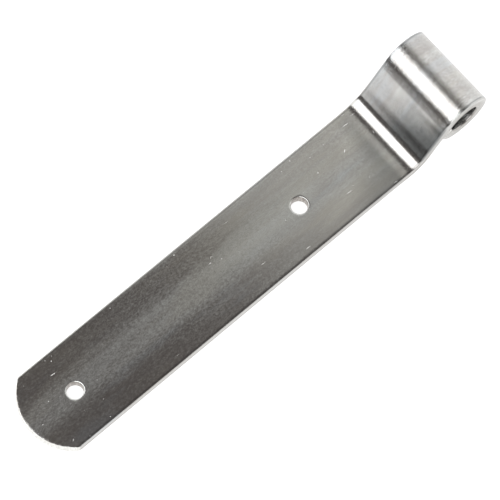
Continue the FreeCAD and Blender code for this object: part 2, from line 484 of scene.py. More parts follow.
        pick_faces(in_patch)
        bpy.ops.mesh.delete(type="FACE")
        square = self.pick_patch_rim(place, level + half)
        turns = [2 * math.pi * number / len(square) for number in range(len(square))]
        rings = [[Vector((place.x + radius * math.cos(turn), place.y + radius * math.sin(turn), height))
                  for turn in turns] for radius, height in self.hole_rings()]
        back = [Vector((spot.x, spot.y, level - half)) for spot in square]
        for ring in [*self.between(square, rings[0]), *rings, *self.between(rings[-1], back), back]:
            draw_out(Vector())
            self.move_ring(place, ring)
        bpy.ops.mesh.select_all(action="SELECT")
        bpy.ops.mesh.remove_doubles(threshold=TOUCH)

    @staticmethod
    def between(first: list[Vector], last: list[Vector]) -> list[list[Vector]]:
        """Rings that lead evenly from one ring to another."""
        return [[a.lerp(b, share) for a, b in zip(first, last, strict=True)] for share in (0.25, 0.5, 0.75)]

    def hole_rings(self) -> list[tuple[float, float]]:
        """Radius and height of each ring of a bolt hole's wall, from the show face to the back.

        Returns:
            Each ring's radius and height.
        """
        half, level = self.bar.thickness / 2, self.bar.middle_level
        lead = [math.pi / 2 * step / self.lead_steps for step in range(self.lead_steps + 1)]
        mouth = [(self.hole_radius + self.hole_lead * (1 - math.sin(a)),
                  half - self.hole_lead * (1 - math.cos(a))) for a in lead]
        wall = mouth + [(radius, -depth) for radius, depth in reversed(mouth)]
        return [(radius, level + depth) for radius, depth in wall]

    def pick_patch_rim(self, place: Vector, level: float) -> list[Vector]:
        """Select the rim of the open square round a hole, and return its points in order round it.

        Args:
            place: the hole's middle.
            level: the height of the face that the square is in.

        Returns:
            The rim's points, in order.
        """

        def on_rim(spot: Vector) -> bool:
            """Whether a point lies at the square's level and close to it."""
            near = max(abs(spot.x - place.x), abs(spot.y - place.y)) < 1.5 * self.patch
            return near and abs(spot.z - level) < TOUCH

        pick_edges(lambda edge: edge.is_boundary and all(on_rim(vertex.co) for vertex in edge.verts))
        mesh = bmesh.from_edit_mesh(bpy.context.object.data)
        return [vertex.co.copy() for vertex in ring_in_order(mesh, place)]

    @staticmethod
    def move_ring(place: Vector, spots: list[Vector]) -> None:
        """Move the selected ring's points, taken in order round a place, to new spots.

        Args:
            place: the middle of the ring.
            spots: where the points go, in order.
        """
        mesh = bmesh.from_edit_mesh(bpy.context.object.data)
        for vertex, spot in zip(ring_in_order(mesh, place), spots, strict=True):
            vertex.co = spot
        bmesh.update_edit_mesh(bpy.context.object.data)

    def close_up(self) -> None:
        """Merge what lies together and turn every face outwards."""
        bpy.ops.mesh.select_mode(type="VERT")
        bpy.ops.mesh.select_all(action="SELECT")
        bpy.ops.mesh.remove_doubles(threshold=TOUCH)
        bpy.ops.mesh.normals_make_consistent(inside=False)
        bpy.ops.object.mode_set(mode="OBJECT")

    def tip_cut(self, across: float) -> float:
        """How far the sheared end lies behind its crown, in short straight nibbles along an arc.

        Args:
            across: how far across from the bar's middle.

        Returns:
            The distance, 0 at the crown.
        """
        angle = math.asin(max(-1.0, min(1.0, across / self.tip_radius)))
        middle = (math.floor(angle / self.nibble) + 0.5) * self.nibble
        chord = self.tip_radius * math.cos(self.nibble / 2)
        straight = (chord - across * math.sin(middle)) / math.cos(middle)
        arc = math.sqrt(self.tip_radius ** 2 - across ** 2)
        return self.tip_radius - (arc + straight) / 2

    def side_draw(self, along: float, depth: float) -> float:
        """How far the sides stand out where bending has pressed the bar together or drawn it thin.

        Args:
            along: how far along the unbent bar.
            depth: how far from the middle line towards the show face.

        Returns:
            The distance, below 0 where the sides draw in.
        """
        bar = self.bar
        blend = 2.5 * bar.thickness
        crank_end = -bar.crank_length
        eye_end = crank_end - bar.ramp
        lean = depth / bar.thickness
        crank = bump_at(along - crank_end / 2, bar.crank_length / 2 + blend / 2)
        eye = smooth_step((eye_end + blend / 3 - along) / blend)
        return self.bulge * (crank * lean - eye * lean)

    def make_ripples(self, length: float) -> list[Swell]:
        """Spread long, barely raised ripples over the flat strap, as rolled bar has.

        Args:
            length: the length of the flat strap.

        Returns:
            The ripples.
        """
        chance = random.Random(11)
        made = []
        for number in range(self.ripples):
            height = self.ripple_height * chance.choice((-1, 1)) * chance.uniform(0.5, 1.0)
            along = chance.uniform(0.05, 0.95) * length
            across = chance.uniform(-0.45, 0.45) * self.bar.width
            reach_along = chance.uniform(25, 50) * MM
            reach_across = chance.uniform(4, 9) * MM
            made.append(Swell(f"ripple_{number}", along, height, reach_along, across, reach_across))
        return made

    def form(self, piece: bpy.types.Object) -> None:
        """Shear the free end and the roll's end, and work the swells and the bulged sides in.

        Each point's place on the unbent bar is kept, so that the plating's pattern follows the bends.

        Args:
            piece: the strap.
        """
        bar = self.bar
        flat_length = bar.tip - bar.crank_centre.x
        half_width, half_depth = bar.width / 2, bar.thickness / 2
        swells = [*self.swells, *self.make_ripples(flat_length)]
        rolled = []
        for vertex in piece.data.vertices:
            along, depth = bar.unbend(vertex.co)
            across = vertex.co.y
            tip_share = (along - flat_length + self.tip_run) / self.tip_run
            along -= self.tip_cut(across) * min(1.0, max(0.0, tip_share))
            lip_share = (bar.roll_end + self.lip_run - along) / self.lip_run
            along -= self.lip_slant * (0.5 - depth / bar.thickness) * min(1.0, max(0.0, lip_share))
            rolled.extend((along, across, depth))
            edge = smooth_step((abs(across) - half_width + bar.thickness) / bar.thickness)
            wider = math.copysign(self.side_draw(along, depth) * edge, across)
            if depth > 0:
                depth += sum(swell.at(along, across) for swell in swells) * depth / half_depth
            vertex.co = bar.bend(along, across + wider, depth)
        attribute = piece.data.attributes.new(AS_ROLLED, "FLOAT_VECTOR", "POINT")
        attribute.data.foreach_set("vector", rolled)
        piece.data.update()

    def finish_faces(self, piece: bpy.types.Object) -> None:
        """Shade the strap smooth, give its cut faces their own slot and mark its worn edges.

        Args:
            piece: the strap.
        """
        start_clean()
        piece.select_set(True)
        bpy.context.view_layer.objects.active = piece
        bpy.ops.object.shade_smooth()
        mesh = piece.data
        rolled = [entry.vector.copy() for entry in mesh.attributes[AS_ROLLED].data]
        bar = self.bar
        flat_length = bar.tip - bar.crank_centre.x
        wear = []
        for along, across, depth in rolled:
            to_side = bar.width / 2 - abs(across)
            to_tip = flat_length - self.tip_cut(across) - along
            to_face = bar.thickness / 2 - abs(depth)
            gaps = sorted((to_side, to_tip, to_face))
            wear.append(1.0 - smooth_step(math.hypot(gaps[0], gaps[1]) / self.wear_reach))
        attribute = mesh.attributes.new(WEAR, "FLOAT", "POINT")
        attribute.data.foreach_set("value", wear)
        for face in mesh.polygons:
            middle = sum((rolled[index] for index in face.vertices), Vector()) / len(face.vertices)
            face.material_index = self.finish_at(middle, flat_length).value

    def finish_at(self, middle: Vector, flat_length: float) -> Finish:
        """The finish of a face, by its middle on the unbent bar.

        Args:
            middle: the face's middle on the unbent bar.
            flat_length: the length of the flat strap.

        Returns:
            The finish.
        """
        to_tip = flat_length - self.tip_cut(middle.y) - middle.x
        to_lip = middle.x - self.bar.roll_end + self.lip_slant * (0.5 - middle.z / self.bar.thickness)
        for place in self.hole_places:
            off_hole = math.hypot(self.bar.crank_centre.x + middle.x - place.x, middle.y - place.y)
            if off_hole < self.hole_radius + self.hole_lead / 4:
                return Finish.PUNCHED
        return Finish.SHEARED if min(to_tip, to_lip) < self.rim / 2 else Finish.PLATED


# ---------------------------------------------------------------------------- finishes


@dataclass(frozen=True)
class Spot:
    """Where a point lies on the unbent bar, in millimetres, as a vector and as its separate parts."""

    place: bpy.types.NodeSocket
    along: bpy.types.NodeSocket
    across: bpy.types.NodeSocket
    off_middle: bpy.types.NodeSocket
    depth: bpy.types.NodeSocket


class Nodes:
    """A node tree with short calls to add and join its nodes."""

    def __init__(self, tree: bpy.types.NodeTree) -> None:
        """Hold a node tree."""
        self.tree = tree

    def add(self, kind: str, inputs: dict | None = None, **settings: object) -> bpy.types.Node:
        """Add a node, set its own settings, and fill its inputs with values or other nodes' outputs.

        Args:
            kind: the node's type name in Blender.
            inputs: what goes into each input, by its name or number.
            settings: the node's own settings.

        Returns:
            The new node.
        """
        node = self.tree.nodes.new(kind)
        for name, value in settings.items():
            setattr(node, name, value)
        for name, value in (inputs or {}).items():
            self.feed(value, node.inputs[name])
        return node

    def feed(self, value: object, socket: bpy.types.NodeSocket) -> None:
        """Join another node's output to an input, or set the input to a plain value.

        Args:
            value: an output or a plain value.
            socket: the input.
        """
        if isinstance(value, bpy.types.NodeSocket):
            self.tree.links.new(value, socket)
        else:
            socket.default_value = value

    def as_rolled(self) -> Spot:
        """Add the place on the unbent bar, in millimetres.

        Returns:
            The place, whole and in parts.
        """
        read = self.add("ShaderNodeAttribute", attribute_name=AS_ROLLED, attribute_type="GEOMETRY")
        inputs = {0: read.outputs["Vector"], "Scale": 1.0 / MM}
        place = self.add("ShaderNodeVectorMath", inputs, operation="SCALE").outputs[0]
        parts = self.add("ShaderNodeSeparateXYZ", {"Vector": place}).outputs
        return Spot(place, parts["X"], parts["Y"], self.math("ABSOLUTE", parts["Y"]), parts["Z"])

    def math(self, operation: str, *values: object, clamp: bool = False) -> bpy.types.NodeSocket:
        """Add a Math node and return its result."""
        inputs = dict(enumerate(values))
        return self.add("ShaderNodeMath", inputs, operation=operation, use_clamp=clamp).outputs[0]

    def plus(self, first: object, second: object) -> bpy.types.NodeSocket:
        """Add two values up."""
        return self.math("ADD", first, second)

    def minus(self, first: object, second: object) -> bpy.types.NodeSocket:
        """Take the second value from the first."""
        return self.math("SUBTRACT", first, second)

    def times(self, first: object, second: object) -> bpy.types.NodeSocket:
        """Multiply two values."""
        return self.math("MULTIPLY", first, second)

    def larger(self, first: object, second: object) -> bpy.types.NodeSocket:
        """Take the larger of two values."""
        return self.math("MAXIMUM", first, second)

    def scaled(self, place: bpy.types.NodeSocket, scale: tuple[float, float, float]) -> bpy.types.NodeSocket:
        """Scale a pattern along, across and through the bar."""
        inputs = {"Vector": place, "Scale": scale}
        return self.add("ShaderNodeMapping", inputs, vector_type="POINT").outputs[0]

    def noise(self, vector: bpy.types.NodeSocket, detail: float = 3.0, roughness: float = 0.5,
              distortion: float = 0.0) -> bpy.types.NodeSocket:
        """Add a noise of period about one and return its value."""
        inputs = {"Vector": vector, "Scale": 1.0, "Detail": detail, "Roughness": roughness,
                  "Distortion": distortion}
        return self.add("ShaderNodeTexNoise", inputs).outputs["Fac"]

    def remap(self, value: bpy.types.NodeSocket, low: float, high: float, bottom: float = 0.0,
              top: float = 1.0) -> bpy.types.NodeSocket:
        """Ease a value from bottom, where it is low, to top, where it is high."""
        inputs = {"Value": value, "From Min": low, "From Max": high, "To Min": bottom, "To Max": top}
        return self.add("ShaderNodeMapRange", inputs, interpolation_type="SMOOTHSTEP").outputs["Result"]

    def mix(self, share: object, first: object, second: object) -> bpy.types.NodeSocket:
        """Mix two colours.

        Args:
            share: how much of the second colour shows.
            first: the first colour.
            second: the second colour.

        Returns:
            The mixed colour.
        """
        node = self.add("ShaderNodeMix", data_type="RGBA")
        for name, value in (("Factor_Float", share), ("A_Color", first), ("B_Color", second)):
            self.feed(value, next(item for item in node.inputs if item.identifier == name))
        return next(item for item in node.outputs if item.identifier == "Result_Color")


def rgba(red: float, green: float, blue: float) -> tuple[float, float, float, float]:
    """A colour that hides what is under it."""
    return (red, green, blue, 1.0)


def new_metal(name: str) -> tuple[bpy.types.Material, Nodes, bpy.types.Node]:
    """Start a bare metal and return the material, its nodes and its shader.

    Args:
        name: the material's name.

    Returns:
        The material, its nodes and its shader.
    """
    material = bpy.data.materials.new(name)
    material.use_nodes = True
    shader = material.node_tree.nodes["Principled BSDF"]
    shader.inputs["Metallic"].default_value = 1.0
    return material, Nodes(material.node_tree), shader


def new_group(name: str, inputs: Iterable[tuple[str, float]],
              outputs: Iterable[str]) -> tuple[Nodes, bpy.types.Node, bpy.types.Node]:
    """Start a node group that is given a place on the unbent bar, in millimetres.

    Args:
        name: the group's name.
        inputs: the name and default of each number that it takes besides the place.
        outputs: the names of the masks and values that it puts out.

    Returns:
        The group's Nodes, its input node and its output node.
    """
    tree = bpy.data.node_groups.new(name, "ShaderNodeTree")
    tree.interface.new_socket("Place", in_out="INPUT", socket_type="NodeSocketVector")
    for label, value in inputs:
        socket = tree.interface.new_socket(label, in_out="INPUT", socket_type="NodeSocketFloat")
        socket.default_value = value
    for label in outputs:
        tree.interface.new_socket(label, in_out="OUTPUT", socket_type="NodeSocketFloat")
    nodes = Nodes(tree)
    return nodes, nodes.add("NodeGroupInput"), nodes.add("NodeGroupOutput")


def make_nicks() -> bpy.types.NodeTree:
    """Node group: sparse nicks, some round and some dashed, as a mask that is 1 in the nick.

    Returns:
        The node group.
    """
    nodes, given, result = new_group(
        "nicks", [("Pitch", 5.0), ("Stretch", 1.0), ("Turn", 0.0), ("Size", 0.1), ("Share", 0.3)], ["Mask"])
    turn = nodes.add("ShaderNodeCombineXYZ", {"Z": given.outputs["Turn"]}).outputs[0]
    turned = nodes.add("ShaderNodeVectorRotate", {"Vector": given.outputs["Place"], "Rotation": turn},
                       rotation_type="EULER_XYZ").outputs[0]
    per_pitch = nodes.math("DIVIDE", 1.0, given.outputs["Pitch"])
    lengthwise = nodes.math("DIVIDE", per_pitch, given.outputs["Stretch"])
    scale = nodes.add("ShaderNodeCombineXYZ", {"X": lengthwise, "Y": per_pitch, "Z": per_pitch}).outputs[0]
    placed = nodes.add("ShaderNodeVectorMath", {0: turned, 1: scale}, operation="MULTIPLY").outputs[0]
    cells = nodes.add("ShaderNodeTexVoronoi", {"Vector": placed, "Scale": 1.0}, feature="F1")
    chance = nodes.add("ShaderNodeSeparateColor", {"Color": cells.outputs["Color"]})
    size = nodes.times(given.outputs["Size"], nodes.plus(0.4, chance.outputs[1]))
    size = nodes.times(size, nodes.plus(0.5, nodes.noise(placed, 1.0)))
    inside = nodes.math("SUBTRACT", 1.0, nodes.math("DIVIDE", cells.outputs["Distance"], size), clamp=True)
    kept = nodes.math("LESS_THAN", chance.outputs[0], given.outputs["Share"])
    nodes.feed(nodes.times(nodes.remap(inside, 0.0, 0.5), kept), result.inputs["Mask"])
    return nodes.tree


def make_drawing_lines() -> bpy.types.NodeTree:
    """Node group: what rolling leaves along the bar, as fine lines and as long pale patches, from 0 to 1.

    Returns:
        The node group.
    """
    nodes, given, result = new_group("drawing_lines", [], ["Height", "Patches"])
    place = given.outputs["Place"]
    hair = nodes.noise(nodes.scaled(place, (0.16, 2.6, 1.3)), 4.0, 0.62, 0.3)
    broad = nodes.noise(nodes.scaled(place, (0.05, 0.75, 0.5)), 2.0, 0.5)
    nodes.feed(nodes.plus(nodes.times(hair, 0.6), nodes.times(broad, 0.4)), result.inputs["Height"])
    patches = nodes.noise(nodes.scaled(place, (0.022, 0.16, 0.2)), 3.0, 0.55, 0.4)
    nodes.feed(patches, result.inputs["Patches"])
    return nodes.tree


@dataclass(frozen=True)
class Groups:
    """The node groups that the strap's finishes share."""

    lines: bpy.types.NodeTree
    nicks: bpy.types.NodeTree


@dataclass(frozen=True)
class Nick:
    """One kind of nick.

    pitch is its spacing in millimetres, stretch its length for its width, turn its slant in radians, size
    its reach for its spacing, and share how many of the places have one.
    """

    pitch: float
    stretch: float
    turn: float
    size: float
    share: float

    def add(self, nodes: Nodes, groups: Groups, spot: Spot) -> bpy.types.NodeSocket:
        """Place the nicks' group with this kind's values and return its mask."""
        inputs = {"Place": spot.place, "Pitch": self.pitch, "Stretch": self.stretch, "Turn": self.turn,
                  "Size": self.size, "Share": self.share}
        return nodes.add("ShaderNodeGroup", inputs, node_tree=groups.nicks).outputs["Mask"]


@dataclass(frozen=True)
class ZincPlate:
    """Bright zinc over rolled steel, on the faces of the strap.

    The plating goes from dull to clean, with faint warm and cool tints. Round the crank, over the ramp and
    just inside the long edges it is darkened with painted shade, for the dark that these spots reflect.
    Low on the sides it is darkened with painted shade for the floor's shadow that they reflect, and it is
    bright where a nick has bared it. Each share says how much of that colour shows.
    lines, bend_lines, pits and nick_depth are heights in millimetres.
    """

    name: str = "zinc_plated_steel"
    clean: tuple[float, float, float, float] = rgba(0.65, 0.665, 0.65)
    dull: tuple[float, float, float, float] = rgba(0.44, 0.425, 0.41)
    warm: tuple[float, float, float, float] = rgba(0.62, 0.60, 0.53)
    cool: tuple[float, float, float, float] = rgba(0.57, 0.62, 0.66)
    bright: tuple[float, float, float, float] = rgba(0.98, 0.98, 0.96)
    # Colour of the painted shade low on the sides, for the floor's shadow that they reflect.
    low_side_shade: tuple[float, float, float, float] = rgba(0.32, 0.305, 0.28)
    # Colour of the painted shade on the ramp, beside the crank and just inside the long edges.
    painted_shade: tuple[float, float, float, float] = rgba(0.13, 0.142, 0.146)
    warm_share: float = 0.32
    cool_share: float = 0.40
    ramp_share: float = 0.8
    crank_share: float = 0.42
    edge_share: float = 0.45
    chewed_share: float = 0.5
    roughness: float = 0.155
    lines: float = 0.0045
    bend_lines: float = 0.11
    pits: float = 0.002
    nick_depth: float = 0.03
    nicks: tuple[Nick, ...] = (
        Nick(pitch=4.0, stretch=1.0, turn=0.3, size=0.050, share=0.55),
        Nick(pitch=1.5, stretch=10.0, turn=0.10, size=0.085, share=0.45),
        Nick(pitch=2.2, stretch=7.0, turn=1.9, size=0.055, share=0.45),
        Nick(pitch=2.6, stretch=7.0, turn=-0.7, size=0.048, share=0.45),
        Nick(pitch=1.5, stretch=1.3, turn=0.9, size=0.085, share=0.22),
    )

    def make(self, groups: Groups) -> bpy.types.Material:
        """Build the material from the shared node groups.

        Args:
            groups: the node groups that the finishes share.

        Returns:
            The material.
        """
        material, nodes, shader = new_metal(self.name)
        spot = nodes.as_rolled()
        drawn = nodes.add("ShaderNodeGroup", {"Place": spot.place}, node_tree=groups.lines)
        grain = nodes.noise(nodes.scaled(spot.place, (0.9, 1.5, 1.5)), 3.0, 0.75)
        rubbed = self.rubbed_stripe(nodes, spot, drawn)
        nicked = self.nicked(nodes, groups, spot)
        bared = nodes.larger(nicked, self.chewed_edges(nodes, spot))

        base = self.plain_plating(nodes, spot, drawn, grain, rubbed)
        # Painted shade: the ramp, the flat beside the crank, the low sides and a line inside the long edges
        # are darkened in the colour for the dark that they reflect.
        base = nodes.mix(self.ramp_painted_shade(nodes, spot), base, self.painted_shade)
        base = nodes.mix(self.crank_painted_shade(nodes, spot), base, self.painted_shade)
        base = nodes.mix(self.side_painted_shade(nodes, spot), base, self.low_side_shade)
        base = nodes.mix(self.edge_painted_shade(nodes, spot), base, self.painted_shade)
        nodes.feed(nodes.mix(bared, base, self.bright), shader.inputs["Base Color"])

        rough = nodes.plus(nodes.remap(grain, 0.3, 0.7, -0.03, 0.05), self.roughness)
        rough = nodes.plus(rough, nodes.times(bared, 0.50))
        rough = nodes.plus(rough, nodes.times(rubbed, 0.05))
        nodes.feed(rough, shader.inputs["Roughness"])
        nodes.feed(self.relief(nodes, spot, drawn, nicked), shader.inputs["Normal"])
        return material

    def plain_plating(self, nodes: Nodes, spot: Spot, drawn: bpy.types.Node, grain: bpy.types.NodeSocket,
                      rubbed: bpy.types.NodeSocket) -> bpy.types.NodeSocket:
        """Colour of the clean plating, before its stains and dirt.

        Args:
            nodes: the material's nodes.
            spot: the place on the unbent bar.
            drawn: the placed group of drawing lines.
            grain: the plating's fine mottle.
            rubbed: mask of the stripe that handling has rubbed.

        Returns:
            The colour.
        """
        shade = nodes.plus(nodes.times(drawn.outputs["Patches"], 0.75), nodes.times(rubbed, 0.28))
        shade = nodes.plus(shade, nodes.times(grain, 0.75))
        shade = nodes.plus(shade, nodes.times(drawn.outputs["Height"], 0.34))
        base = nodes.mix(nodes.remap(shade, 0.73, 1.42), self.dull, self.clean)
        tint = nodes.noise(nodes.scaled(spot.place, (0.018, 0.10, 0.1)), 3.0, 0.55)
        base = nodes.mix(nodes.remap(tint, 0.50, 0.68, 0.0, self.warm_share), base, self.warm)
        return nodes.mix(nodes.remap(tint, 0.46, 0.32, 0.0, self.cool_share), base, self.cool)

    @staticmethod
    def rubbed_stripe(nodes: Nodes, spot: Spot, drawn: bpy.types.Node) -> bpy.types.NodeSocket:
        """Mask of the stripe that handling has rubbed along the middle of the strap.

        Args:
            nodes: the material's nodes.
            spot: the place on the unbent bar.
            drawn: the placed group of drawing lines.

        Returns:
            The mask, from 0 to 1.
        """
        drift = nodes.times(nodes.minus(drawn.outputs["Patches"], 0.5), 9.0)
        off_stripe = nodes.math("ABSOLUTE", nodes.plus(spot.across, drift))
        stripe = nodes.remap(off_stripe, 9.0, 3.0)
        return nodes.times(stripe, nodes.remap(spot.along, 5.0, 60.0, 0.3, 1.0))

    def ramp_painted_shade(self, nodes: Nodes, spot: Spot) -> bpy.types.NodeSocket:
        """Mask of the painted shade that spreads over the ramp from one end of the crank, for the dark that
        the ramp reflects there.

        Args:
            nodes: the material's nodes.
            spot: the place on the unbent bar.

        Returns:
            The mask, from 0 to 1.
        """
        cloud = nodes.noise(nodes.scaled(spot.place, (0.10, 0.10, 0.1)), 3.0, 0.5)
        reach = nodes.times(nodes.minus(cloud, 0.5), 16.0)
        slanted = nodes.plus(nodes.times(spot.across, 0.75), nodes.plus(spot.along, reach))
        painted_dark = nodes.remap(slanted, -28.0, -5.0, 0.0, self.ramp_share)
        off_crank = nodes.remap(spot.along, -7.5, -10.5)
        off_eye = nodes.remap(spot.along, -30.0, -26.0)
        return nodes.times(painted_dark, nodes.times(off_crank, off_eye))

    def crank_painted_shade(self, nodes: Nodes, spot: Spot) -> bpy.types.NodeSocket:
        """Mask of painted shade on the flat beside the crank, wider at the same end as the ramp's: the dark
        that this part of the flat reflects.
        """
        slanted = nodes.minus(spot.along, nodes.times(spot.across, 0.7))
        off_crank = nodes.remap(spot.along, 1.0, 4.0, 0.0, self.crank_share)
        return nodes.times(nodes.remap(slanted, 18.0, -2.0), off_crank)

    @staticmethod
    def side_painted_shade(nodes: Nodes, spot: Spot) -> bpy.types.NodeSocket:
        """Mask of painted shade on the bar's sides, heavier away from the show face: the floor's shadow that
        the sides reflect, painted into the colour.
        """
        on_side = nodes.remap(spot.off_middle, 17.0, 17.4)
        return nodes.times(on_side, nodes.remap(spot.depth, 2.2, -1.0, 0.25, 1.0))

    def edge_painted_shade(self, nodes: Nodes, spot: Spot) -> bpy.types.NodeSocket:
        """Mask of the thin dark line just inside the long edges: painted shade for the dark that the start
        of the rounded edges reflects.
        """
        inner = nodes.remap(spot.off_middle, 16.2, 16.7)
        outer = nodes.remap(spot.off_middle, 17.1, 16.9)
        return nodes.times(nodes.times(inner, outer), self.edge_share)

    def nicked(self, nodes: Nodes, groups: Groups, spot: Spot) -> bpy.types.NodeSocket:
        """Mask of the nicks, which gather in clusters, at the free end and beside the long edges.

        Args:
            nodes: the material's nodes.
            groups: the node groups that the finishes share.
            spot: the place on the unbent bar.

        Returns:
            The mask, from 0 to 1.
        """
        clusters = nodes.noise(nodes.scaled(spot.place, (0.045, 0.10, 0.1)), 2.0, 0.5)
        knocked = nodes.larger(nodes.remap(clusters, 0.50, 0.60), nodes.remap(spot.along, 130.0, 160.0))
        knocked = nodes.larger(knocked, nodes.remap(spot.off_middle, 12.0, 16.0, 0.0, 0.8))
        knocked = nodes.times(knocked, nodes.remap(spot.along, -9.0, -7.0, 0.25, 1.0))
        masks = [kind.add(nodes, groups, spot) for kind in self.nicks]
        return nodes.times(reduce(nodes.larger, masks), knocked)

    def chewed_edges(self, nodes: Nodes, spot: Spot) -> bpy.types.NodeSocket:
        """Mask of the ragged wear along the edges, strongest at the free end.

        Args:
            nodes: the material's nodes.
            spot: the place on the unbent bar.

        Returns:
            The mask, from 0 to 1.
        """
        worn = nodes.add("ShaderNodeAttribute", attribute_name=WEAR, attribute_type="GEOMETRY")
        ragged = nodes.remap(nodes.noise(nodes.scaled(spot.place, (1.2, 1.2, 1.2)), 3.0, 0.7), 0.50, 0.60)
        chewed = nodes.times(nodes.times(worn.outputs["Fac"], ragged),
                             nodes.remap(spot.along, 140.0, 165.0, 0.1, 1.0))
        return nodes.times(chewed, self.chewed_share)

    def relief(self, nodes: Nodes, spot: Spot, drawn: bpy.types.Node,
               nicked: bpy.types.NodeSocket) -> bpy.types.NodeSocket:
        """Height of the drawing lines, the bends' rucks, the pits and the nicks, as a normal.

        Args:
            nodes: the material's nodes.
            spot: the place on the unbent bar.
            drawn: the placed group of drawing lines.
            nicked: mask of the nicks.

        Returns:
            The normal.
        """
        in_eye = nodes.remap(spot.along, -27.0, -30.0, 0.0, 1.0)
        past_flat = nodes.remap(spot.along, 1.0, -1.0, 0.0, 0.3)
        on_ramp = nodes.remap(spot.along, -7.0, -10.0, 0.0, 0.2)
        bent = nodes.minus(nodes.plus(in_eye, past_flat), on_ramp)
        rucks = nodes.noise(nodes.scaled(spot.place, (0.42, 2.1, 2.0)), 4.0, 0.65, 0.4)
        level = nodes.plus(nodes.times(drawn.outputs["Height"], self.lines * MM),
                           nodes.times(nodes.times(rucks, bent), self.bend_lines * MM))
        pits = nodes.noise(nodes.scaled(spot.place, (1.3, 1.9, 1.9)), 3.0, 0.6)
        level = nodes.plus(level, nodes.times(pits, self.pits * MM))
        level = nodes.minus(level, nodes.times(nicked, self.nick_depth * MM))
        inputs = {"Strength": 1.0, "Distance": 1.0, "Height": level}
        return nodes.add("ShaderNodeBump", inputs).outputs["Normal"]


@dataclass(frozen=True)
class ShearedZinc:
    """Zinc over a cut face, with the fine score lines that the shear left through the thickness.

    scores is the lines' height and nick_depth the nicks' depth, in millimetres.
    """

    name: str = "sheared_zinc"
    clean: tuple[float, float, float, float] = rgba(0.80, 0.80, 0.78)
    dull: tuple[float, float, float, float] = rgba(0.60, 0.59, 0.56)
    roughness: float = 0.36
    scores: float = 0.020
    nick_depth: float = 0.040
    nicks: Nick = Nick(pitch=3.0, stretch=1.0, turn=0.4, size=0.10, share=0.30)

    def make(self, groups: Groups) -> bpy.types.Material:
        """Build the material from the shared node groups.

        Args:
            groups: the node groups that the finishes share.

        Returns:
            The material.
        """
        material, nodes, shader = new_metal(self.name)
        spot = nodes.as_rolled()
        scored = nodes.noise(nodes.scaled(spot.place, (2.6, 2.6, 0.22)), 4.0, 0.65)
        base = nodes.mix(nodes.remap(scored, 0.36, 0.60), self.dull, self.clean)
        nodes.feed(base, shader.inputs["Base Color"])
        rough = nodes.plus(nodes.remap(scored, 0.3, 0.7, 0.08, -0.06), self.roughness)
        nodes.feed(rough, shader.inputs["Roughness"])
        level = nodes.minus(nodes.times(scored, self.scores * MM),
                            nodes.times(self.nicks.add(nodes, groups, spot), self.nick_depth * MM))
        relief = nodes.add("ShaderNodeBump", {"Strength": 1.0, "Distance": 1.0, "Height": level})
        nodes.feed(relief.outputs["Normal"], shader.inputs["Normal"])
        return material


# ---------------------------------------------------------------------------- studio


@dataclass(frozen=True)
class Softbox:
    """A large soft light that faces the strap.

    Azimuth is counted from +X towards +Y and elevation from the floor, both in degrees. The half
    angles say how much of the surroundings it fills, seen from the strap.
    """

    name: str
    azimuth: float
    elevation: float
    half_wide: float
    half_high: float
    radiance: float
    distance: float = 1.1
    tint: tuple[float, float, float] = (1.0, 1.0, 1.0)

    def place(self, target: Vector) -> bpy.types.Object:
        """Add the light, turned to the target.

        Args:
            target: what the light is turned to.

        Returns:
            The light.
        """
        start_clean()
        azimuth, elevation = math.radians(self.azimuth), math.radians(self.elevation)
        away = Vector((math.cos(elevation) * math.cos(azimuth), math.cos(elevation) * math.sin(azimuth),
                       math.sin(elevation)))
        bpy.ops.object.light_add(type="AREA", location=target + away * self.distance)
        light = bpy.context.object
        light.name = self.name
        light.rotation_mode = "QUATERNION"
        light.rotation_quaternion = (-away).to_track_quat("-Z", "Y")
        light.data.shape = "RECTANGLE"
        light.data.size = 2 * self.distance * math.tan(math.radians(self.half_wide))
        light.data.size_y = 2 * self.distance * math.tan(math.radians(self.half_high))
        light.data.energy = math.pi * light.data.size * light.data.size_y * self.radiance
        light.data.color = self.tint
        return light


